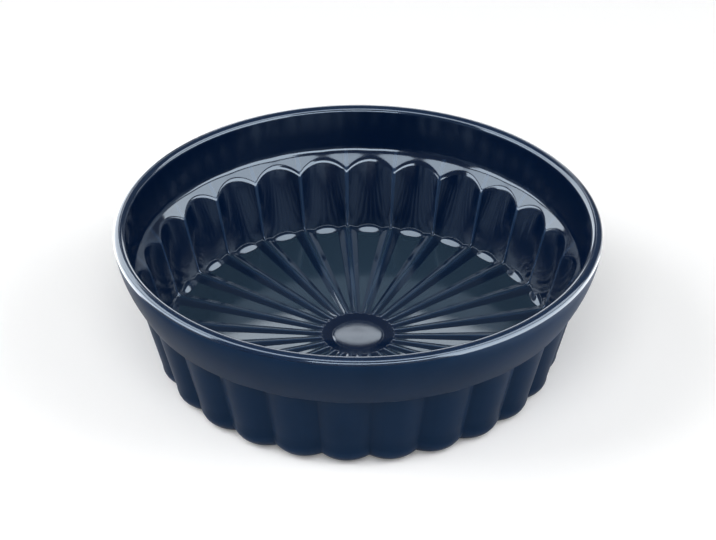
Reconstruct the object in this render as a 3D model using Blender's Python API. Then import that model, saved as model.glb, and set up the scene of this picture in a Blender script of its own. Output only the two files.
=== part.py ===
"""Fluted charlotte mould: a round glazed baking mould, fired in one piece."""

import math

import bmesh
import bpy

# Overall sizes, in metres. The base stands on z = 0, centred on the z axis.
RIM_DIAMETER = 0.255
HEIGHT = 0.080

# Rounded lip and the plain collar below it, with depths measured down from the top of the rim
LIP_THICKNESS = 0.0062
COLLAR_DEPTH = 0.0323
COLLAR_INSET = 0.0106
COLLAR_CURVE = 1.6
COLLAR_ROWS = 4
COLLAR_UNDERCUT = 0.0006

# Inner shoulder, a sloping ledge between the collar and the flutes
SHOULDER_DEPTH = 0.0250
SHOULDER_INSET = 0.0040
SHOULDER_WIDTH = 0.0077
SHOULDER_DROP = 0.0096

# Flutes: sharp edges point in on the inside, and valleys are sharp on the outside
FLUTE_COUNT = 26
STEPS_PER_FLUTE = 8
INNER_FLUTE_DEPTH = 0.0046
OUTER_FLUTE_DEPTH = 0.0036
FLUTE_TAPER = 0.245

# Floor, which rises a little from the middle to the wall
FLOOR_THICKNESS = 0.0072
FLOOR_SLOPE = 0.050
FLOOR_FILLET = 0.0058

# Ribs on the floor run from the inner flute edges to the medallion, with flats between them
RIB_HEIGHT_AT_WALL = 0.0016
RIB_HEIGHT_AT_MIDDLE = 0.0006
RIB_WIDTH_SHARE = 0.5
RIB_START_RADIUS = 0.0175
RIB_RAMP = 0.0045

# Plain round medallion in the middle of the floor
MEDALLION_RADIUS = 0.0124
MEDALLION_HEIGHT = 0.0008
MEDALLION_FLARE = 0.0008

# Rounded feet of the outer flutes, and the shallow recess under the base
FOOT_ROUND_HEIGHT = 0.0095
FOOT_ROUND_WIDTH = 0.0103
FOOT_NOTCH_RISE = 0.0022
FOOT_NOTCH_INSET = 0.0055
FOOT_RING_WIDTH = 0.0100
RECESS_DEPTH = 0.0010
RECESS_BEVEL = 0.0015

NAVY_GLAZE = (0.012, 0.024, 0.052, 1.0)
GLAZE_ROUGHNESS = 0.12

RIM_RADIUS = RIM_DIAMETER / 2
LIP_RADIUS = LIP_THICKNESS / 2
LIP_CENTRE_HEIGHT = HEIGHT - LIP_RADIUS
LIP_CENTRE_RADIUS = RIM_RADIUS - LIP_RADIUS


def arc_blend(share):
    """Round section of a flute: 0 at its edge (share 0), 1 at its middle (share 1)."""
    return 1 - (1 - share) ** 2


def rib_blend(share):
    """Section of the floor: 0 on a rib's crest (share 0), 1 on the flat beside it."""
    return min(1.0, share / RIB_WIDTH_SHARE)


def same(point):
    """A station where the section is a plain circle."""
    return point, point, arc_blend


def floor_height(radius):
    return FLOOR_THICKNESS + FLOOR_SLOPE * radius


def shoulder_corner():
    radius = RIM_RADIUS - LIP_THICKNESS - SHOULDER_INSET
    return radius, HEIGHT - SHOULDER_DEPTH


def inner_edge_top():
    """Top of an inner flute edge, at the lower, inner side of the shoulder."""
    radius, height = shoulder_corner()
    return radius - SHOULDER_WIDTH, height - SHOULDER_DROP


def inner_middle_top():
    """Top of a flute's middle, where the flute runs out into the sloping shoulder."""
    radius, height = inner_edge_top()
    rise = INNER_FLUTE_DEPTH * SHOULDER_DROP / SHOULDER_WIDTH
    return radius + INNER_FLUTE_DEPTH, height + rise


def down_the_taper(top, height):
    """The point at the given height on a wall line that leans in from its top."""
    radius, top_height = top
    return radius - FLUTE_TAPER * (top_height - height), height


def floor_stations():
    """Medallion, then the floor with its ribs, from the middle out."""
    medallion_top = FLOOR_THICKNESS + MEDALLION_HEIGHT
    medallion_foot = MEDALLION_RADIUS + MEDALLION_FLARE
    rib_full = RIB_START_RADIUS + RIB_RAMP
    rib_end, flat_end = floor_ends()
    return [
        same((MEDALLION_RADIUS, medallion_top)),
        same((medallion_foot, floor_height(medallion_foot))),
        same((RIB_START_RADIUS, floor_height(RIB_START_RADIUS))),
        (
            (rib_full, floor_height(rib_full) + RIB_HEIGHT_AT_MIDDLE),
            (rib_full, floor_height(rib_full)),
            rib_blend,
        ),
        (
            (rib_end, floor_height(rib_end) + RIB_HEIGHT_AT_WALL),
            (flat_end, floor_height(flat_end)),
            rib_blend,
        ),
    ]


def wall_foot_height():
    """Height at which the inner wall starts, above the floor's fillet."""
    return floor_height(inner_edge_top()[0]) + FLOOR_FILLET


def floor_ends():
    """Radii at which the ribs and the flats end, at the start of the wall's fillet."""
    height = wall_foot_height()
    edge_radius = down_the_taper(inner_edge_top(), height)[0]
    middle_radius = down_the_taper(inner_middle_top(), height)[0]
    return edge_radius - FLOOR_FILLET, middle_radius - FLOOR_FILLET


def fillet_middle(foot, floor_radius):
    """Middle of the fillet between the floor and the wall foot."""
    radius, height = foot
    chord_share = 1 - math.sqrt(0.5)
    fillet_radius = radius - chord_share * (radius - floor_radius)
    fillet_height = height - math.sqrt(0.5) * FLOOR_FILLET
    return fillet_radius, fillet_height


def inner_wall_stations():
    """Fillet, fluted wall, shoulder and the collar's inside, going up."""
    height = wall_foot_height()
    edge_foot = down_the_taper(inner_edge_top(), height)
    middle_foot = down_the_taper(inner_middle_top(), height)
    rib_end, flat_end = floor_ends()
    return [
        (fillet_middle(edge_foot, rib_end), fillet_middle(middle_foot, flat_end), arc_blend),
        (edge_foot, middle_foot, arc_blend),
        (inner_edge_top(), inner_middle_top(), arc_blend),
        same(shoulder_corner()),
    ]


def lip_stations():
    """Half circle over the rim, from its inner side to its outer side."""
    stations = []
    for step in range(5):
        angle = math.pi * (1 - step / 4)
        radius = LIP_CENTRE_RADIUS + LIP_RADIUS * math.cos(angle)
        height = LIP_CENTRE_HEIGHT + LIP_RADIUS * math.sin(angle)
        stations.append(same((radius, height)))
    return stations


def collar_stations():
    """Outside of the collar, which draws in more and more towards its lower edge."""
    stations = []
    drop = COLLAR_DEPTH - LIP_RADIUS
    for row in range(1, COLLAR_ROWS + 1):
        share = row / COLLAR_ROWS
        radius = RIM_RADIUS - COLLAR_INSET * share ** COLLAR_CURVE
        stations.append(same((radius, LIP_CENTRE_HEIGHT - drop * share)))
    return stations


def outer_flute_stations():
    """Fluted outside below the collar, with a rounded foot on each flute, going down."""
    top_height = HEIGHT - COLLAR_DEPTH - COLLAR_UNDERCUT
    crest_top = (RIM_RADIUS - COLLAR_INSET - COLLAR_UNDERCUT / 2, top_height)
    valley_top = (crest_top[0] - OUTER_FLUTE_DEPTH, top_height - COLLAR_UNDERCUT)
    crest_low = down_the_taper(crest_top, FOOT_ROUND_HEIGHT)
    valley_low = down_the_taper(valley_top, FOOT_ROUND_HEIGHT + FOOT_NOTCH_RISE)
    half = math.sqrt(0.5)
    crest_mid = (
        crest_low[0] - (1 - half) * FOOT_ROUND_WIDTH,
        (1 - half) * FOOT_ROUND_HEIGHT,
    )
    valley_mid = (
        valley_low[0] - (1 - half) * FOOT_ROUND_WIDTH - FOOT_NOTCH_RISE / 2,
        crest_mid[1] + FOOT_NOTCH_RISE,
    )
    crest_base = (crest_low[0] - FOOT_ROUND_WIDTH, 0.0)
    valley_base = (crest_base[0] - FOOT_NOTCH_INSET, 0.0)
    return [
        (valley_top, crest_top, arc_blend),
        (valley_low, crest_low, arc_blend),
        (valley_mid, crest_mid, arc_blend),
        (valley_base, crest_base, arc_blend),
    ]


def base_stations():
    """Flat ring that the mould rests on, and the recess inside it."""
    flat_outer = outer_flute_stations()[-1][1][0]
    ring_inner = flat_outer - FOOT_RING_WIDTH
    return [
        same((ring_inner, 0.0)),
        same((ring_inner - RECESS_BEVEL, RECESS_DEPTH)),
    ]


def section_point(station, step):
    """Point of a station's section at the given step round the mould."""
    edge, middle, blend = station
    half_steps = STEPS_PER_FLUTE / 2
    place = step % STEPS_PER_FLUTE
    share = min(place, STEPS_PER_FLUTE - place) / half_steps
    weight = blend(share)
    radius = edge[0] + (middle[0] - edge[0]) * weight
    height = edge[1] + (middle[1] - edge[1]) * weight
    angle = 2 * math.pi * step / (FLUTE_COUNT * STEPS_PER_FLUTE)
    return radius * math.cos(angle), radius * math.sin(angle), height


def loft(stations, start_height, end_height):
    """Close a loft through the stations with a point on the axis at each end."""
    steps = FLUTE_COUNT * STEPS_PER_FLUTE
    mesh_builder = bmesh.new()
    rings = []
    for station in stations:
        ring = [mesh_builder.verts.new(section_point(station, step)) for step in range(steps)]
        rings.append(ring)
    start = mesh_builder.verts.new((0, 0, start_height))
    end = mesh_builder.verts.new((0, 0, end_height))
    for step in range(steps):
        following = (step + 1) % steps
        mesh_builder.faces.new((start, rings[0][step], rings[0][following]))
        mesh_builder.faces.new((end, rings[-1][following], rings[-1][step]))
        for inner, outer in zip(rings, rings[1:]):
            corners = (inner[step], outer[step], outer[following], inner[following])
            mesh_builder.faces.new(corners)
    bmesh.ops.triangulate(mesh_builder, faces=mesh_builder.faces[:])
    return mesh_builder


def glaze_material():
    material = bpy.data.materials.new("navy_glaze")
    material.use_nodes = True
    shader = material.node_tree.nodes["Principled BSDF"]
    shader.inputs["Base Color"].default_value = NAVY_GLAZE
    shader.inputs["Roughness"].default_value = GLAZE_ROUGHNESS
    shader.inputs["Metallic"].default_value = 0.0
    return material


def mould_body(collection):
    """The whole mould, one closed body from the medallion over the rim to the base."""
    stations = floor_stations() + inner_wall_stations() + lip_stations()
    stations += collar_stations() + outer_flute_stations() + base_stations()
    builder = loft(stations, FLOOR_THICKNESS + MEDALLION_HEIGHT, RECESS_DEPTH)
    mesh = bpy.data.meshes.new("mould_body")
    builder.to_mesh(mesh)
    builder.free()
    mesh.materials.append(glaze_material())
    mesh.shade_smooth()
    mesh.set_sharp_from_angle(angle=math.radians(35))
    body = bpy.data.objects.new("mould_body", mesh)
    collection.objects.link(body)
    return body


def clear_scene():
    for item in list(bpy.data.objects):
        bpy.data.objects.remove(item, do_unlink=True)


def main():
    clear_scene()
    collection = bpy.data.collections.new("charlotte_mould")
    bpy.context.scene.collection.children.link(collection)
    mould_body(collection)


main()
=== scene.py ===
import math

import bmesh
import bpy
from bpy.props import FloatProperty, FloatVectorProperty, IntProperty, PointerProperty
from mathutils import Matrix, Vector


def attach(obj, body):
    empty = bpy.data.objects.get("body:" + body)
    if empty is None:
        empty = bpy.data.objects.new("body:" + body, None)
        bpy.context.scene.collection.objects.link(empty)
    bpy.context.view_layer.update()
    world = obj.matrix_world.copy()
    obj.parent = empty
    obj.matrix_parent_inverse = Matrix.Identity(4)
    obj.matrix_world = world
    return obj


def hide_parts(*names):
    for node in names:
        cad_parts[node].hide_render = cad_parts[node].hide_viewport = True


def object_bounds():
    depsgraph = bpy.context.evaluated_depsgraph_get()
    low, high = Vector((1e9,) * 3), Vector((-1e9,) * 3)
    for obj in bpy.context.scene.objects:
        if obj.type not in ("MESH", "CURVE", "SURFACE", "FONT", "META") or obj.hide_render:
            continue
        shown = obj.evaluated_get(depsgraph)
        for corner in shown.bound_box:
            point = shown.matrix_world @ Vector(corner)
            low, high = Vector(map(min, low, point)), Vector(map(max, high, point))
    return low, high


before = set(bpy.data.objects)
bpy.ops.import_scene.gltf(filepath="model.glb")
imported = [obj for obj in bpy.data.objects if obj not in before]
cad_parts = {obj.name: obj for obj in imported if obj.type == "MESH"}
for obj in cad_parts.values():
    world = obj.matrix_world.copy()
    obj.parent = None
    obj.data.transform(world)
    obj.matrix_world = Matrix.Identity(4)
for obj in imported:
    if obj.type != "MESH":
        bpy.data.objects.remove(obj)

bl_info = {
    "name": "Charlotte Mould",
    "version": (1, 0, 0),
    "blender": (4, 5, 0),
    "location": "View3D > Sidebar > Charlotte Mould",
    "description": "Builds a fluted, glazed charlotte mould and a small studio to show it in",
    "category": "Add Mesh",
}

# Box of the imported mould, which gives the overall sizes
FRAME_LOW, FRAME_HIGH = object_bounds()
FRAME_DIAMETER = FRAME_HIGH.x - FRAME_LOW.x
FRAME_HEIGHT = FRAME_HIGH.z - FRAME_LOW.z

# Places of the columns across half a flute, as shares from its edge (0) to its middle (1)
HALF_FLUTE_COLUMNS = (
    0, 0.03, 0.065, 0.11, 0.165, 0.24, 0.33, 0.42, 0.45,
    0.48, 0.56, 0.65, 0.74, 0.83, 0.91, 1,
)

# Columns at which a floor rib's crest ends and its side meets the flat
RIB_CREST_COLUMN = 0.165
RIB_FOOT_COLUMN = 0.45

# How far the edges between flutes are rounded, as a share of half a flute
INNER_EDGE_SOFTNESS = 0.07
OUTER_EDGE_SOFTNESS = 0.05

# Radius at which the rings of the floor and the base end, before they close to a point
POLE_RADIUS = 0.0012

# Points of neighbouring slices that are closer than this are merged
MERGE_DISTANCE = 0.000002

# Width of the slope round the medallion, and length over which a flat sinks from its point
MEDALLION_FLARE = 0.0008
FLAT_RAMP = 0.004

# Wall at the outer end of a flat: how far it leans out for its height, how much lower it is
# at its sides, and how much further out its sides start
END_WALL_LEAN = 0.92
END_WALL_FALL = 0.0016
END_WALL_BOW = 0.0010

# Rise from the top of that wall to the foot of the flutes
WALL_FOOT_RISE = 0.0004

# Gusset at the foot of each inner flute edge: its width as a share of half a flute, and its size
GUSSET_SHARE = 0.12
GUSSET_SIZE = 0.0017

# Roundings, from corners that stay sharp to the two soft corners of the shoulder, and the
# largest share of the shorter side beside a corner that its rounding may take
SHARP_ROUNDING = 0.0001
FINE_ROUNDING = 0.0006
SMALL_ROUNDING = 0.0008
SCALLOP_ROUNDING = 0.0100
SHOULDER_ROUNDING = 0.0085
ROUNDING_LIMIT = 0.46

# Outer flutes: the step in under the collar, what a valley's top is lower by, and the notch
# that a valley cuts between two feet
COLLAR_STEP = 0.0006
VALLEY_DROP = 0.0004
NOTCH_RISE = 0.0022
NOTCH_INSET = 0.0055

# Width of the slope between the foot ring and the recess
RECESS_BEVEL = 0.0015

# Places of the finishes in the mould's list of materials, where gloss comes first
SATIN_PLACE = 1
CLAY_PLACE = 2

# Distance of the lamps and bands of light from the mould, and the side of a lamp
STUDIO_RADIUS = 2.0
LAMP_SIDE = 1.2


class MouldSizes(bpy.types.PropertyGroup):
    """Sizes of the mould, in metres. It stands on z = 0, centred on the z axis."""

    rim_diameter: FloatProperty(
        name="Rim diameter", description="Outside diameter of the rim",
        default=FRAME_DIAMETER, unit="LENGTH")
    height: FloatProperty(
        name="Height", description="From the table to the top of the rim",
        default=FRAME_HEIGHT, unit="LENGTH")
    lip_thickness: FloatProperty(
        name="Lip thickness", description="Thickness of the rounded lip",
        default=0.0062, unit="LENGTH")
    collar_depth: FloatProperty(
        name="Collar depth", description="From the top of the rim to the collar's lower edge",
        default=0.0323, unit="LENGTH")
    collar_inset: FloatProperty(
        name="Collar inset", description="How far the collar draws in at its lower edge",
        default=0.0106, unit="LENGTH")
    shoulder_depth: FloatProperty(
        name="Shoulder depth", description="From the top of the rim to the shoulder inside",
        default=0.0250, unit="LENGTH")
    shoulder_inset: FloatProperty(
        name="Shoulder inset", description="How far the collar's inside leans in above the shoulder",
        default=0.0030, unit="LENGTH")
    shoulder_width: FloatProperty(
        name="Shoulder width", description="Width of the sloping shoulder at a flute edge",
        default=0.0077, unit="LENGTH")
    shoulder_drop: FloatProperty(
        name="Shoulder drop", description="Height that the shoulder loses at a flute edge",
        default=0.0096, unit="LENGTH")
    flute_count: IntProperty(
        name="Flutes", description="Number of flutes round the mould",
        default=26, min=8)
    inner_flute_depth: FloatProperty(
        name="Inner flute depth", description="From a flute's edge to its middle, inside",
        default=0.0046, unit="LENGTH")
    flute_top_dip: FloatProperty(
        name="Flute top dip",
        description="Share of its rise that the shoulder lacks over a flute's middle",
        default=0.07, min=0, max=1, subtype="FACTOR")
    outer_flute_depth: FloatProperty(
        name="Outer flute depth", description="From a valley to a flute's crest, outside",
        default=0.0036, unit="LENGTH")
    flute_run_out: FloatProperty(
        name="Flute run-out", description="How much shallower the inner flutes are at their foot",
        default=0.0026, unit="LENGTH")
    flute_taper: FloatProperty(
        name="Flute taper", description="How far the walls lean in for each unit of height",
        default=0.245)
    floor_height: FloatProperty(
        name="Floor height", description="Height of the floor at the medallion",
        default=0.0079, unit="LENGTH")
    floor_slope: FloatProperty(
        name="Floor slope", description="How much the floor rises towards the wall",
        default=0.035)
    flat_reach: FloatProperty(
        name="Flat reach", description="Radius at which the sunk flats of the floor end",
        default=0.0994, unit="LENGTH")
    flat_width: FloatProperty(
        name="Flat width", description="Half width of a sunk flat at its outer end",
        default=0.0066, unit="LENGTH")
    flat_point: FloatProperty(
        name="Flat point", description="Radius at which the flats run out to a point",
        default=0.0195, unit="LENGTH")
    rib_height: FloatProperty(
        name="Rib height", description="Height of the floor's ribs over the flats at the wall",
        default=0.0020, unit="LENGTH")
    rib_height_inside: FloatProperty(
        name="Inner rib height", description="Height of the ribs where the flats run out",
        default=0.0009, unit="LENGTH")
    end_wall_height: FloatProperty(
        name="End wall height", description="Height of the sloping wall at the outer end of a flat",
        default=0.0026, unit="LENGTH")
    medallion_radius: FloatProperty(
        name="Medallion radius", description="Radius of the plain disc in the middle of the floor",
        default=0.0128, unit="LENGTH")
    medallion_height: FloatProperty(
        name="Medallion height", description="How far the disc stands above the floor",
        default=0.0008, unit="LENGTH")
    foot_round_height: FloatProperty(
        name="Foot rounding height", description="Height at which the outer flutes start to round in",
        default=0.0095, unit="LENGTH")
    foot_round_width: FloatProperty(
        name="Foot rounding width", description="How far the rounded feet draw in",
        default=0.0103, unit="LENGTH")
    foot_ring_width: FloatProperty(
        name="Foot ring width", description="Width of the flat ring that the mould rests on",
        default=0.0100, unit="LENGTH")
    recess_depth: FloatProperty(
        name="Recess depth", description="Depth of the recess under the base",
        default=0.0010, unit="LENGTH")


class GlazeLooks(bpy.types.PropertyGroup):
    """Colours and gloss of the glaze and of the bare clay under the foot, with a painted highlight on
    edges and a painted reflection on the floor's flats.
    """

    deep_colour: FloatVectorProperty(
        name="Deep glaze", description="Colour where the glaze lies thick",
        default=(0.0006, 0.0065, 0.0270, 1.0), size=4, subtype="COLOR", min=0, max=1)
    satin_colour: FloatVectorProperty(
        name="Satin glaze", description="Colour of the satin glaze outside",
        default=(0.0050, 0.0185, 0.0480, 1.0), size=4, subtype="COLOR", min=0, max=1)
    # Lighter colour over edges: partly real thin glaze, partly a painted highlight on the flute
    # edges, rib crests and lip
    thin_glaze_and_sheen_colour: FloatVectorProperty(
        name="Thin glaze and edge sheen", description="Colour where the glaze runs thin over edges",
        default=(0.014, 0.034, 0.080, 1.0), size=4, subtype="COLOR", min=0, max=1)
    # Painted reflection: a greyer tone laid on the floor's flats in place of the light they mirror
    floor_reflection_colour: FloatVectorProperty(
        name="Painted floor reflection", description="Colour where the glaze pools on the floor",
        default=(0.018, 0.036, 0.058, 1.0), size=4, subtype="COLOR", min=0, max=1)
    clay_colour: FloatVectorProperty(
        name="Bare clay", description="Colour of the unglazed foot ring",
        default=(0.62, 0.54, 0.44, 1.0), size=4, subtype="COLOR", min=0, max=1)
    gloss_roughness: FloatProperty(
        name="Gloss roughness", description="Roughness of the glossy glaze inside and on the lip",
        default=0.11, min=0, max=1, subtype="FACTOR")
    satin_roughness: FloatProperty(
        name="Satin roughness", description="Roughness of the satin glaze outside",
        default=0.36, min=0, max=1, subtype="FACTOR")
    gloss_reflection: FloatProperty(
        name="Gloss reflection", description="How strongly the glossy glaze mirrors the room",
        default=0.5, min=0, max=1, subtype="FACTOR")
    satin_reflection: FloatProperty(
        name="Satin reflection", description="How strongly the satin glaze mirrors the room",
        default=0.02, min=0, max=1, subtype="FACTOR")
    satin_start: FloatProperty(
        name="Satin start", description="Depth below the rim at which the outside turns satin",
        default=0.0042, unit="LENGTH")


class StudioSettings(bpy.types.PropertyGroup):
    """Floor, room light and camera."""

    floor_colour: FloatVectorProperty(
        name="Floor colour", description="Colour of the plain floor",
        default=(0.88, 0.88, 0.88, 1.0), size=4, subtype="COLOR", min=0, max=1)
    floor_glow: FloatProperty(
        name="Floor glow", description="How much whiter the floor is to the camera alone",
        default=0.16, min=0, max=1, subtype="FACTOR")
    world_colour: FloatVectorProperty(
        name="Room light", description="Colour and level of the light that fills the room",
        default=(0.12, 0.125, 0.13, 1.0), size=4, subtype="COLOR", min=0, max=1)
    camera_distance: FloatProperty(
        name="Camera distance", description="Level distance from the camera to the mould's axis",
        default=1.116, unit="LENGTH")
    camera_height: FloatProperty(
        name="Camera height", description="Height of the camera above the table",
        default=0.7691, unit="LENGTH")
    camera_turn: FloatProperty(
        name="Camera turn", description="Turn of the camera round the mould from the front",
        default=math.radians(3.6), subtype="ANGLE")
    camera_tilt: FloatProperty(
        name="Camera tilt", description="How far the camera looks down",
        default=math.radians(32.8), subtype="ANGLE")
    camera_lens: FloatProperty(
        name="Lens", description="Focal length of the lens",
        default=126.4, unit="CAMERA")


def soft_ramp(value, softness):
    """Zero below zero and the value above it, with a smooth bend of the given half width."""
    if value <= -softness:
        return 0.0
    if value >= softness:
        return value
    return (value + softness) ** 2 / (4 * softness)


def soft_distance(share, softness):
    """Distance from a flute's edge as a share, with the sharp edge made round."""
    return soft_ramp(share, softness) + soft_ramp(-share, softness)


def flute_arc(share, softness):
    """Round section of a flute: near 0 at its edge, 1 at its middle."""
    return 1 - (1 - soft_distance(share, softness)) ** 2


def rib_section(column):
    """Section of a floor rib: 1 on its rounded crest, 0 on the sunk flat beside it."""
    crown = 0.15
    if column < RIB_CREST_COLUMN:
        return 1 - crown * (column / RIB_CREST_COLUMN) ** 2
    height = (RIB_FOOT_COLUMN - column) / (RIB_FOOT_COLUMN - RIB_CREST_COLUMN)
    return (1 - crown) * max(0.0, height)


def between(edge, middle, weight):
    """Point between a flute's edge and its middle."""
    return edge[0] + (middle[0] - edge[0]) * weight, edge[1] + (middle[1] - edge[1]) * weight


def smooth_section(corners):
    """Turn a section's corners into its points.

    A corner is (radius, height, rounding, rows of the rounding, rows before it).
    """
    points = [Vector(corners[0][:2])]
    for index in range(1, len(corners)):
        place = Vector(corners[index][:2])
        rounding, round_rows, rows_before = corners[index][2:]
        start = end = place
        if round_rows and index < len(corners) - 1:
            back = Vector(corners[index - 1][:2]) - place
            ahead = Vector(corners[index + 1][:2]) - place
            reach = rounding / math.tan(back.angle(ahead) / 2)
            reach = min(reach, ROUNDING_LIMIT * min(back.length, ahead.length))
            start = place + back.normalized() * reach
            end = place + ahead.normalized() * reach
        last = points[-1]
        for row in range(1, rows_before + 1):
            points.append(last.lerp(start, row / rows_before))
        for row in range(1, round_rows + 1):
            share = row / round_rows
            points.append(start.lerp(place, share).lerp(place.lerp(end, share), share))
    return points


def floor_level(sizes, radius):
    """Height of the floor's flats at the given radius."""
    return sizes.floor_height + sizes.floor_slope * radius


def shoulder_corner(sizes):
    """Where the collar's inside meets the shoulder."""
    radius = sizes.rim_diameter / 2 - sizes.lip_thickness - sizes.shoulder_inset
    return radius, sizes.height - sizes.shoulder_depth


def inner_flute_top(sizes, share):
    """Where the shoulder breaks over into a flute."""
    radius, height = shoulder_corner(sizes)
    edge = (radius - sizes.shoulder_width, height - sizes.shoulder_drop)
    rise = sizes.inner_flute_depth * sizes.shoulder_drop / sizes.shoulder_width
    middle = (edge[0] + sizes.inner_flute_depth, edge[1] + rise)
    arc = flute_arc(share, INNER_EDGE_SOFTNESS)
    top_radius, top_height = between(edge, middle, arc)
    return top_radius, top_height - rise * sizes.flute_top_dip * arc ** 6


def spread(sizes, column, radius):
    """Share of half a flute at which a column stands, so that the floor's flats run to a point."""
    inside_ring = sizes.medallion_radius + 0.001
    if radius < inside_ring or radius > sizes.flat_reach:
        return column
    thinnest = 0.00006
    slope = sizes.flat_width / (sizes.flat_reach - sizes.flat_point)
    half_width = max(thinnest, slope * (radius - sizes.flat_point))
    half_pitch = math.pi * radius / sizes.flute_count
    foot = 1 - half_width / half_pitch
    if column <= RIB_FOOT_COLUMN:
        return foot * column / RIB_FOOT_COLUMN
    return foot + (1 - foot) * (column - RIB_FOOT_COLUMN) / (1 - RIB_FOOT_COLUMN)


def wall_foot_radius(sizes, share, foot_height):
    """Radius of the inner wall at its foot, where the flutes are shallower than at their top."""
    flute_radius, flute_height = inner_flute_top(sizes, share)
    radius = flute_radius - sizes.flute_taper * (flute_height - foot_height)
    return radius - sizes.flute_run_out * flute_arc(share, INNER_EDGE_SOFTNESS)


def medallion_corners(sizes):
    """Plain disc in the middle of the floor, faintly domed, with a soft edge."""
    top = sizes.floor_height + sizes.medallion_height
    foot = sizes.medallion_radius + MEDALLION_FLARE
    edge_rounding = 0.0007
    return [
        (POLE_RADIUS, top + 0.0002, 0, 0, 0),
        (sizes.medallion_radius * 0.8, top + 0.0001, 0, 0, 3),
        (sizes.medallion_radius, top, edge_rounding, 4, 1),
        (foot, floor_level(sizes, foot), edge_rounding, 3, 0),
    ]


def floor_corners(sizes, share):
    """Ribs with sunk flats between them, out to the foot of the wall."""
    rib = rib_section(share)
    to_side = min(1.0, (1 - share) / (1 - RIB_FOOT_COLUMN)) ** 2
    point_level = floor_level(sizes, sizes.flat_point) + sizes.rib_height_inside
    flat_start = sizes.flat_point + FLAT_RAMP
    start_level = floor_level(sizes, flat_start) + sizes.rib_height_inside * rib
    flat_end = sizes.flat_reach + END_WALL_BOW * to_side
    end_level = floor_level(sizes, flat_end) + sizes.rib_height * rib
    wall_rise = sizes.end_wall_height - END_WALL_FALL * to_side
    step_end = sizes.flat_reach + sizes.end_wall_height * END_WALL_LEAN
    step_rise = sizes.rib_height * rib + wall_rise * (1 - rib)
    step_level = floor_level(sizes, flat_end) + step_rise
    wall_foot = step_level + WALL_FOOT_RISE
    wall_radius = wall_foot_radius(sizes, share, wall_foot)
    at_edge = max(0.0, 1 - share / GUSSET_SHARE) ** 2
    gusset = SHARP_ROUNDING + GUSSET_SIZE * at_edge
    return [
        (sizes.flat_point, point_level, 0.0040, 3, 1),
        (flat_start, start_level, 0, 0, 1),
        (flat_end, end_level, FINE_ROUNDING, 3, 6),
        (step_end, step_level, SMALL_ROUNDING, 3, 2),
        (wall_radius - gusset, wall_foot, SHARP_ROUNDING + 0.0003 * at_edge, 2, 1),
        (wall_radius, wall_foot + gusset, SHARP_ROUNDING + 0.0005 * at_edge, 2, 1),
    ]


def inner_wall_corners(sizes, share):
    """Scalloped edge of the shoulder, its upper corner and the collar's inside."""
    top_radius, top_height = inner_flute_top(sizes, share)
    corner_radius, corner_height = shoulder_corner(sizes)
    return [
        (top_radius, top_height, SCALLOP_ROUNDING, 8, 6),
        (corner_radius, corner_height, SHOULDER_ROUNDING, 8, 2),
    ]


def lip_corners(sizes):
    """Half circle over the rim, from its inner side to its outer side."""
    round_radius = sizes.lip_thickness / 2
    centre_radius = sizes.rim_diameter / 2 - round_radius
    centre_height = sizes.height - round_radius
    rows = 12
    corners = []
    for row in range(rows + 1):
        angle = math.pi * (1 - row / rows)
        radius = centre_radius + round_radius * math.cos(angle)
        height = centre_height + round_radius * math.sin(angle)
        corners.append((radius, height, 0, 0, 3 if row == 0 else 1))
    return corners


def collar_corners(sizes):
    """Outside of the collar, which draws in more and more towards its lower edge."""
    start_height = sizes.height - sizes.lip_thickness / 2
    drop = sizes.collar_depth - sizes.lip_thickness / 2
    curve = 1.6
    rows = 9
    corners = []
    for row in range(1, rows + 1):
        share = row / rows
        radius = sizes.rim_diameter / 2 - sizes.collar_inset * share ** curve
        corners.append((radius, start_height - drop * share, 0, 0, 1))
    lower_edge_rounding = 0.0009
    last_radius, last_height = corners[-1][:2]
    corners[-1] = (last_radius, last_height, lower_edge_rounding, 5, 1)
    return corners


def outer_flute_line(sizes):
    """Radius and height of an outer crest's top, and how far it leans in above its foot."""
    radius = sizes.rim_diameter / 2 - sizes.collar_inset - COLLAR_STEP
    height = sizes.height - sizes.collar_depth - COLLAR_STEP
    return radius, height, sizes.flute_taper * (height - sizes.foot_round_height)


def outer_flute_corners(sizes, share):
    """Fluted outside below the collar, with its rounded foot, going down."""
    arc = flute_arc(share, OUTER_EDGE_SOFTNESS)
    crest_radius, top_height, fall = outer_flute_line(sizes)
    valley_top = (crest_radius - sizes.outer_flute_depth, top_height - VALLEY_DROP)
    top = between(valley_top, (crest_radius, top_height), arc)
    low = (top[0] - fall, sizes.foot_round_height + NOTCH_RISE * (1 - arc))
    base_radius = crest_radius - fall - sizes.foot_round_width - NOTCH_INSET * (1 - arc)
    corners = [(top[0], top[1], SMALL_ROUNDING, 3, 1)]
    corners.append((low[0], low[1], 0, 0, 6))
    rows = 9
    for row in range(1, rows + 1):
        angle = math.pi / 2 * row / rows
        radius = base_radius + (low[0] - base_radius) * math.cos(angle)
        height = low[1] * (1 - math.sin(angle))
        corners.append((radius, height, 0, 0, 1))
    return corners


def base_corners(sizes):
    """Flat ring that the mould rests on, and the recess inside it."""
    crest_radius, top_height, fall = outer_flute_line(sizes)
    ring_outer = crest_radius - fall - sizes.foot_round_width
    ring_inner = ring_outer - sizes.foot_ring_width
    return [
        (ring_inner, 0.0, FINE_ROUNDING, 3, 2),
        (ring_inner - RECESS_BEVEL, sizes.recess_depth, FINE_ROUNDING, 3, 1),
        (POLE_RADIUS, sizes.recess_depth, 0, 0, 5),
    ]


def mould_section(sizes, share):
    """Whole section of the mould at the given place across a flute."""
    corners = medallion_corners(sizes) + floor_corners(sizes, share)
    corners += inner_wall_corners(sizes, share) + lip_corners(sizes) + collar_corners(sizes)
    corners += outer_flute_corners(sizes, share) + base_corners(sizes)
    return smooth_section(corners)


def start_fresh():
    """Leave edit mode and deselect everything before a new piece is started."""
    if bpy.context.object and bpy.context.object.mode != "OBJECT":
        bpy.ops.object.mode_set(mode="OBJECT")
    bpy.ops.object.select_all(action="DESELECT")


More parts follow.
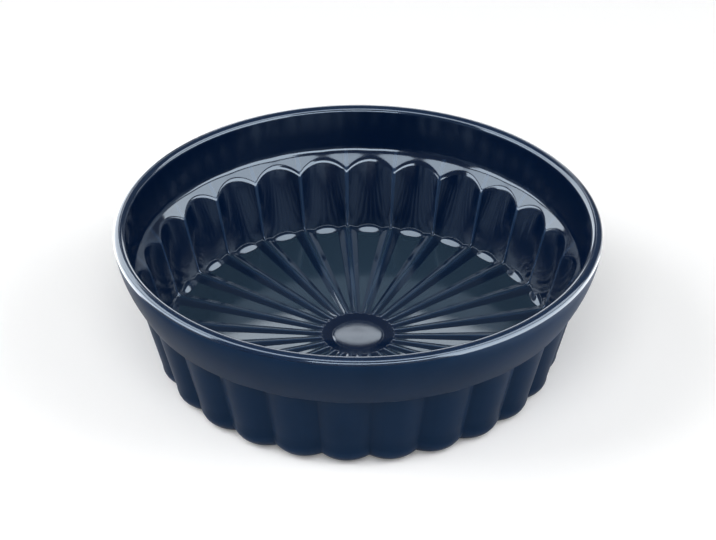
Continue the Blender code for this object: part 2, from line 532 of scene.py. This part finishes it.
def flute_slice(sizes):
    """Roll a flat sheet into the slice of the mould that holds one flute."""
    shares = list(HALF_FLUTE_COLUMNS) + list(HALF_FLUTE_COLUMNS[-2::-1])
    pitch = 2 * math.pi / sizes.flute_count
    columns = [mould_section(sizes, share) for share in shares]
    rows = len(columns[0])
    bpy.ops.mesh.primitive_grid_add(
        x_subdivisions=len(columns) - 1, y_subdivisions=rows - 1, size=1)
    sheet = bpy.context.object
    sheet.name = "glazed_mould"
    points = sheet.data.vertices
    if len(points) != len(columns) * rows:
        raise RuntimeError("the sheet has another number of points than the slice needs")
    for row in range(rows):
        on_inside = row < rows // 2
        for column, section in enumerate(columns):
            radius, height = section[row]
            place = shares[column]
            if on_inside:
                place = spread(sizes, place, radius)
            far_half = column >= len(HALF_FLUTE_COLUMNS)
            angle = pitch * (1 - place / 2 if far_half else place / 2)
            point = points[row * len(columns) + column]
            point.co = (radius * math.cos(angle), radius * math.sin(angle), height)
    return sheet


def copy_round(count):
    """Copy the slice in edit mode until the mould is closed all round."""
    bpy.ops.object.mode_set(mode="EDIT")
    bpy.ops.mesh.select_all(action="SELECT")
    bpy.ops.mesh.spin(
        steps=count, dupli=True, angle=2 * math.pi, center=(0, 0, 0), axis=(0, 0, 1))
    bpy.ops.mesh.select_all(action="SELECT")
    bpy.ops.mesh.remove_doubles(threshold=MERGE_DISTANCE)


def close_poles(height_limits):
    """Close the small rings in the middle of the floor and of the base with a fan each."""
    for low, high in height_limits:
        bpy.ops.mesh.select_mode(type="VERT")
        bpy.ops.mesh.select_all(action="DESELECT")
        mesh = bmesh.from_edit_mesh(bpy.context.object.data)
        for point in mesh.verts:
            if point.co.xy.length < POLE_RADIUS * 1.01 and low < point.co.z < high:
                point.select_set(True)
        mesh.select_flush(True)
        bmesh.update_edit_mesh(bpy.context.object.data)
        bpy.ops.mesh.select_mode(type="EDGE")
        bpy.ops.mesh.edge_face_add()
        bpy.ops.mesh.poke(center_mode="MEDIAN")


def check_closed(piece):
    """Stop if the mould has a hole."""
    mesh = bmesh.new()
    mesh.from_mesh(piece.data)
    open_edges = [edge for edge in mesh.edges if not edge.is_manifold]
    mesh.free()
    if open_edges:
        raise RuntimeError("the mould has %d open edges" % len(open_edges))


def edge_distance(sizes, place):
    """Share of half a flute between a place and the nearest flute edge."""
    turn = math.atan2(place.y, place.x) / (2 * math.pi) * sizes.flute_count
    return 2 * abs(turn - round(turn))


def on_flute_edge(sizes, place, normal):
    """True on the edges between the inner flutes."""
    faces_in = place.x * normal.x + place.y * normal.y < 0
    in_height = floor_level(sizes, sizes.flat_reach) < place.z < sizes.height - sizes.shoulder_depth
    return faces_in and in_height and edge_distance(sizes, place) < INNER_EDGE_SOFTNESS


def on_rib_crest(sizes, place):
    """True on the crest of one of the floor's ribs."""
    radius = place.xy.length
    if not sizes.flat_point < radius < sizes.flat_reach or place.z > sizes.height / 2:
        return False
    crest = 0.12
    return edge_distance(sizes, place) < spread(sizes, crest, radius)


def surface_bend(point):
    """How the surface bends at a point: below 0 on edges, above 0 in hollows."""
    total = 0.0
    for edge in point.link_edges:
        way = edge.other_vert(point).co - point.co
        total += way.dot(point.normal) / max(way.length_squared, 1e-10) * way.length
    return total / len(point.link_edges)


def glaze_depth_and_sheen(sizes, point):
    """How thick the glaze lies at a point, from 0 on edges and ribs to 1 in hollows. The low end also
    carries a painted highlight, made stronger on rib crests and flute edges.
    """
    # Extra thinning on rib crests and flute edges, which paints a highlight line there
    thinning_and_sheen = 0.1
    contrast = 1.6
    bend = surface_bend(point)
    on_rib = point.normal.z > 0.5 and on_rib_crest(sizes, point.co)
    if on_rib or on_flute_edge(sizes, point.co, point.normal):
        bend -= thinning_and_sheen
    return min(1.0, max(0.0, 0.5 + bend * contrast))


def painted_floor_reflection(sizes, point):
    """Painted reflection at a point, as a greyer tone on the floor: 1 on the flats that face up, less
    on their slopes.
    """
    flats_start = sizes.flat_point + FLAT_RAMP
    flats_end = sizes.flat_reach + 0.01
    if point.normal.z <= 0 or not flats_start < point.co.xy.length < flats_end:
        return 0.0
    level = 1 if point.normal.z > 0.99 else 0.2
    floor_top = floor_level(sizes, sizes.flat_reach) + sizes.rib_height
    fade_height = 0.006
    above = max(0.0, (point.co.z - floor_top) / fade_height)
    return level * max(0.0, 1 - above)


def store_values(piece, name, values):
    """Keep a value for each point of a piece, for its materials to read by name."""
    attribute = piece.data.attributes.new(name, "FLOAT", "POINT")
    attribute.data.foreach_set("value", values)


def store_glaze(piece, sizes):
    """Store how thick the glaze lies on the mould, with its painted edge highlight, and where a
    reflection is painted on the floor's flats.
    """
    mesh = bmesh.new()
    mesh.from_mesh(piece.data)
    mesh.normal_update()
    depths_and_sheen = [glaze_depth_and_sheen(sizes, point) for point in mesh.verts]
    mesh.free()
    shines = [painted_floor_reflection(sizes, point) for point in piece.data.vertices]
    store_values(piece, "glaze_depth_and_sheen", depths_and_sheen)
    store_values(piece, "painted_floor_reflection", shines)


def share_finishes(piece, sizes, looks):
    """Glossy glaze inside and over the lip, satin glaze outside, bare clay on the foot ring."""
    piece.data.materials.clear()
    gloss = navy_glaze(
        "gloss_navy_glaze", looks, looks.deep_colour, looks.gloss_roughness, looks.gloss_reflection)
    satin = navy_glaze(
        "satin_navy_glaze", looks, looks.satin_colour, looks.satin_roughness, looks.satin_reflection)
    piece.data.materials.append(gloss)
    piece.data.materials.append(satin)
    piece.data.materials.append(bare_clay(looks))
    satin_top = sizes.height - looks.satin_start
    inside_reach = sizes.flat_reach * 0.9
    for face in piece.data.polygons:
        place = face.center
        outward = Vector((place.x, place.y, 0)).normalized().dot(face.normal)
        outside = outward > 0 and place.xy.length > inside_reach and place.z < satin_top
        on_table = face.normal.z < -0.99 and place.z < 0.0001
        if on_table:
            face.material_index = CLAY_PLACE
        elif outside or face.normal.z < -0.5:
            face.material_index = SATIN_PLACE


class CHARLOTTE_OT_mould(bpy.types.Operator):
    """Model the mould: one flute's slice, copied round and closed"""

    bl_idname = "charlotte.mould"
    bl_label = "Mould"

    def execute(self, context):
        sizes = context.scene.charlotte_sizes
        start_fresh()
        piece = flute_slice(sizes)
        copy_round(sizes.flute_count)
        middle = sizes.floor_height * 0.6
        close_poles([(middle, sizes.height), (-1.0, middle)])
        bpy.ops.mesh.select_all(action="SELECT")
        bpy.ops.mesh.normals_make_consistent(inside=False)
        bpy.ops.object.mode_set(mode="OBJECT")
        bpy.ops.object.shade_smooth()
        check_closed(piece)
        store_glaze(piece, sizes)
        share_finishes(piece, sizes, context.scene.charlotte_glaze)
        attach(piece, "root")
        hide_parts("mould_body")
        return {"FINISHED"}


def new_material(name):
    """A node material with its shader, ready for more nodes."""
    material = bpy.data.materials.new(name)
    material.use_nodes = True
    nodes = material.node_tree.nodes
    return material, nodes, material.node_tree.links, nodes["Principled BSDF"]


def add_noise(nodes, links, place, scale, detail, roughness):
    """Noise texture that reads the given coordinates."""
    noise = nodes.new("ShaderNodeTexNoise")
    noise.inputs["Scale"].default_value = scale
    noise.inputs["Detail"].default_value = detail
    noise.inputs["Roughness"].default_value = roughness
    links.new(place.outputs["Object"], noise.inputs["Vector"])
    return noise


def glaze_colour(nodes, links, place, looks, colour):
    """Colour of the glaze: light where it lies thin and where a highlight is painted on edges, deep
    in hollows, greyer where a reflection is painted on the floor's flats.
    """
    depth = nodes.new("ShaderNodeAttribute")
    depth.attribute_name = "glaze_depth_and_sheen"
    clouds = add_noise(nodes, links, place, 60, 4, 0.55)
    uneven = nodes.new("ShaderNodeMath")
    uneven.operation = "MULTIPLY_ADD"
    uneven.inputs[1].default_value = 0.12
    links.new(clouds.outputs["Fac"], uneven.inputs[0])
    links.new(depth.outputs["Fac"], uneven.inputs[2])
    # The thin end of this ramp is thin glaze and painted edge highlight together
    ramp = nodes.new("ShaderNodeValToRGB")
    ramp.color_ramp.elements[0].position = 0.30
    ramp.color_ramp.elements[0].color = looks.thin_glaze_and_sheen_colour
    ramp.color_ramp.elements[1].position = 0.56
    ramp.color_ramp.elements[1].color = colour
    links.new(uneven.outputs["Value"], ramp.inputs["Fac"])
    # Painted reflection on the floor's flats, laid over the glaze as a greyer tone
    reflection_mask = nodes.new("ShaderNodeAttribute")
    reflection_mask.attribute_name = "painted_floor_reflection"
    tint = nodes.new("ShaderNodeMix")
    tint.data_type = "RGBA"
    tint.blend_type = "LIGHTEN"
    tint.inputs["B"].default_value = looks.floor_reflection_colour
    links.new(reflection_mask.outputs["Fac"], tint.inputs["Factor"])
    links.new(ramp.outputs["Color"], tint.inputs["A"])
    return tint.outputs["Result"]


def glaze_gloss(nodes, links, place, roughness):
    """Roughness of the glaze, a little cloudy."""
    haze = add_noise(nodes, links, place, 25, 3, 0.5)
    gloss = nodes.new("ShaderNodeMapRange")
    gloss.inputs["To Min"].default_value = roughness * 0.8
    gloss.inputs["To Max"].default_value = roughness * 1.2
    links.new(haze.outputs["Fac"], gloss.inputs["Value"])
    return gloss.outputs["Result"]


def add_bump(nodes, links, relief, strength, distance):
    """Fine relief from the given noise."""
    bump = nodes.new("ShaderNodeBump")
    bump.inputs["Strength"].default_value = strength
    bump.inputs["Distance"].default_value = distance
    links.new(relief.outputs["Fac"], bump.inputs["Height"])
    return bump.outputs["Normal"]


def navy_glaze(name, looks, colour, roughness, reflection):
    """Navy glaze: lighter over edges from thin glaze and a painted highlight, darker in hollows,
    greyer on the floor's flats from a painted reflection, with a slightly wavy surface.
    """
    material, nodes, links, shader = new_material(name)
    place = nodes.new("ShaderNodeTexCoord")
    waves = add_noise(nodes, links, place, 70, 2, 0.5)
    links.new(glaze_colour(nodes, links, place, looks, colour), shader.inputs["Base Color"])
    links.new(glaze_gloss(nodes, links, place, roughness), shader.inputs["Roughness"])
    links.new(add_bump(nodes, links, waves, 0.10, 0.0004), shader.inputs["Normal"])
    shader.inputs["IOR"].default_value = 1.8
    shader.inputs["Specular IOR Level"].default_value = reflection
    shader.inputs["Specular Tint"].default_value = (0.72, 0.86, 1.0, 1.0)
    return material


def bare_clay(looks):
    """Fired clay without glaze, with fine grains."""
    material, nodes, links, shader = new_material("bare_clay")
    place = nodes.new("ShaderNodeTexCoord")
    grains = add_noise(nodes, links, place, 900, 3, 0.6)
    tone = nodes.new("ShaderNodeValToRGB")
    red, green, blue, alpha = looks.clay_colour
    darker = 0.8
    tone.color_ramp.elements[0].position = 0.35
    tone.color_ramp.elements[0].color = (red * darker, green * darker, blue * darker, alpha)
    tone.color_ramp.elements[1].position = 0.65
    tone.color_ramp.elements[1].color = looks.clay_colour
    links.new(grains.outputs["Fac"], tone.inputs["Fac"])
    links.new(tone.outputs["Color"], shader.inputs["Base Color"])
    links.new(add_bump(nodes, links, grains, 0.3, 0.0002), shader.inputs["Normal"])
    shader.inputs["Roughness"].default_value = 0.85
    return material


def floor_material(studio):
    """Plain pale floor, with a faint change of tone, a little whiter to the camera alone."""
    material, nodes, links, shader = new_material("pale_floor")
    place = nodes.new("ShaderNodeTexCoord")
    clouds = add_noise(nodes, links, place, 3, 2, 0.5)
    tone = nodes.new("ShaderNodeMapRange")
    tone.inputs["To Min"].default_value = studio.floor_colour[0] * 0.99
    tone.inputs["To Max"].default_value = studio.floor_colour[0] * 1.01
    links.new(clouds.outputs["Fac"], tone.inputs["Value"])
    links.new(tone.outputs["Result"], shader.inputs["Base Color"])
    shader.inputs["Roughness"].default_value = 0.9
    shader.inputs["Specular IOR Level"].default_value = 0.0
    path = nodes.new("ShaderNodeLightPath")
    glow = nodes.new("ShaderNodeMath")
    glow.operation = "MULTIPLY"
    glow.inputs[1].default_value = studio.floor_glow
    links.new(path.outputs["Is Camera Ray"], glow.inputs[0])
    shader.inputs["Emission Color"].default_value = (1.0, 1.0, 1.0, 1.0)
    links.new(glow.outputs["Value"], shader.inputs["Emission Strength"])
    return material


def round_the_mould(azimuth, elevation, distance):
    """Place round the mould, never below the floor.

    Azimuth 0 is behind the mould and 90 on its right. Both angles are in degrees.
    """
    turn = math.radians(azimuth)
    rise = math.radians(elevation)
    level = math.cos(rise)
    away = Vector((math.sin(turn) * level, math.cos(turn) * level, math.sin(rise)))
    middle_height = 0.05
    if away.z < 0:
        distance = min(distance, 0.98 * middle_height / -away.z)
    return Vector((0, 0, middle_height)) + away * distance


def fill_lamp(name, azimuth, elevation, radiance):
    """Square lamp that lights the mould and the floor softly, and doesn't show in the glaze."""
    spot = round_the_mould(azimuth, elevation, STUDIO_RADIUS)
    bpy.ops.object.light_add(type="AREA", location=spot)
    lamp = bpy.context.object
    lamp.name = name
    lamp.rotation_euler = spot.to_track_quat("Z", "Y").to_euler()
    lamp.data.shape = "SQUARE"
    lamp.data.size = LAMP_SIDE
    lamp.data.energy = radiance * math.pi * lamp.data.size ** 2
    lamp.visible_camera = False
    lamp.visible_glossy = False


def glowing_material(name, radiance):
    """White surface that glows evenly."""
    material, _, _, shader = new_material(name)
    shader.inputs["Base Color"].default_value = (0.0, 0.0, 0.0, 1.0)
    shader.inputs["Emission Color"].default_value = (1.0, 1.0, 1.0, 1.0)
    shader.inputs["Emission Strength"].default_value = radiance
    return material


def drooping(edge, azimuth):
    """Elevation of a band's edge, which droops more and more away from the front."""
    elevation, droop = edge
    return elevation - droop * abs(180 - azimuth % 360) ** 1.6


def light_band(name, azimuths, low_edge, high_edge, radiance, distance=STUDIO_RADIUS):
    """Curved band round the mould that only shows in the glaze. Without radiance it is black.

    An edge is (elevation at the front, droop away from the front).
    """
    start_fresh()
    columns, rows = 41, 7
    bpy.ops.mesh.primitive_grid_add(x_subdivisions=columns - 1, y_subdivisions=rows - 1, size=1)
    band = bpy.context.object
    band.name = name
    for column in range(columns):
        azimuth = azimuths[0] + (azimuths[1] - azimuths[0]) * column / (columns - 1)
        low = drooping(low_edge, azimuth)
        high = max(low, drooping(high_edge, azimuth))
        for row in range(rows):
            elevation = low + (high - low) * row / (rows - 1)
            point = band.data.vertices[row * columns + column]
            point.co = round_the_mould(azimuth, elevation, distance)
    band.data.materials.append(glowing_material(name, radiance))
    band.visible_camera = False
    band.visible_diffuse = False
    band.visible_shadow = False


def lay_floor(studio):
    """Plain floor, just under the mould's foot."""
    bpy.ops.mesh.primitive_plane_add(size=30, location=(0, 0, -0.0002))
    floor = bpy.context.object
    floor.name = "studio_floor"
    bpy.ops.object.transform_apply(location=True)
    floor.data.materials.append(floor_material(studio))


def light_room(scene, studio):
    """Even light from all round."""
    world = scene.world or bpy.data.worlds.new("studio_world")
    scene.world = world
    world.use_nodes = True
    background = world.node_tree.nodes["Background"]
    background.inputs["Color"].default_value = studio.world_colour


def place_lamps():
    """Soft lamps that light the mould and the floor."""
    fill_lamp("front_lamp", 180, 55, 4.5)
    fill_lamp("right_lamp", 100, 40, 4.6)
    fill_lamp("left_lamp", -100, 40, 5.2)


def place_bands():
    """Bands of light for the glaze to mirror, on the lip, the shoulder and the floor's edge."""
    light_band("upper_band", (61, 299), (47.5, 0.0175), (66, 0.0130), 4.3)
    light_band("front_band", (142, 197), (9, 0), (21.5, 0), 6.5)
    light_band("right_band", (61, 142), (-14, 0), (40.5, 0.0175), 5.5)
    light_band("left_band", (266, 299), (-14, 0), (42.0, 0.0175), 5.5)
    light_band("left_front_band", (240, 266), (-1, 0), (42.0, 0.0175), 5.5)
    light_band("far_right_band", (45, 61), (-14, 0), (6, 0), 2.0)
    light_band("far_left_band", (299, 340), (-14, 0), (39.5, 0), 4.0)
    light_band("dark_card", (142, 266), (-14, 0), (-1, 0), 0.0)
    light_band("back_band", (351, 362), (32.2, 0), (36.1, 0), 3.2, distance=6.0)
    light_band("low_back_band", (346, 376), (-3, 0), (20, 0), 3.0)


def place_camera(scene, studio):
    """Camera in front of the mould, looking down on it."""
    turn = studio.camera_turn
    spot = Vector((math.sin(turn), -math.cos(turn), 0)) * studio.camera_distance
    spot.z = studio.camera_height
    bpy.ops.object.camera_add(
        location=spot, rotation=(math.pi / 2 - studio.camera_tilt, 0, turn))
    camera = bpy.context.object
    camera.name = "studio_camera"
    camera.data.lens = studio.camera_lens
    scene.camera = camera
    scene.view_settings.view_transform = "Standard"


class CHARLOTTE_OT_studio(bpy.types.Operator):
    """Set up the floor, the lamps, the bands of light and the camera"""

    bl_idname = "charlotte.studio"
    bl_label = "Studio"

    def execute(self, context):
        studio = context.scene.charlotte_studio
        start_fresh()
        lay_floor(studio)
        light_room(context.scene, studio)
        place_lamps()
        place_bands()
        place_camera(context.scene, studio)
        return {"FINISHED"}


class CHARLOTTE_PT_panel(bpy.types.Panel):
    """Buttons for the mould and the studio"""

    bl_label = "Charlotte Mould"
    bl_idname = "CHARLOTTE_PT_panel"
    bl_space_type = "VIEW_3D"
    bl_region_type = "UI"
    bl_category = "Charlotte Mould"

    def draw(self, context):
        for group in ("charlotte_sizes", "charlotte_glaze", "charlotte_studio"):
            settings = getattr(context.scene, group)
            box = self.layout.box()
            for name in settings.bl_rna.properties.keys():
                if name not in {"rna_type", "name"}:
                    box.prop(settings, name)
        self.layout.operator(CHARLOTTE_OT_mould.bl_idname)
        self.layout.operator(CHARLOTTE_OT_studio.bl_idname)


CLASSES = (
    MouldSizes,
    GlazeLooks,
    StudioSettings,
    CHARLOTTE_OT_mould,
    CHARLOTTE_OT_studio,
    CHARLOTTE_PT_panel,
)


def register():
    for item in CLASSES:
        bpy.utils.register_class(item)
    bpy.types.Scene.charlotte_sizes = PointerProperty(type=MouldSizes)
    bpy.types.Scene.charlotte_glaze = PointerProperty(type=GlazeLooks)
    bpy.types.Scene.charlotte_studio = PointerProperty(type=StudioSettings)


def unregister():
    del bpy.types.Scene.charlotte_studio
    del bpy.types.Scene.charlotte_glaze
    del bpy.types.Scene.charlotte_sizes
    for item in reversed(CLASSES):
        bpy.utils.unregister_class(item)


def main():
    register()
    bpy.ops.charlotte.mould()
    bpy.ops.charlotte.studio()


if __name__ == "__main__":
    main()
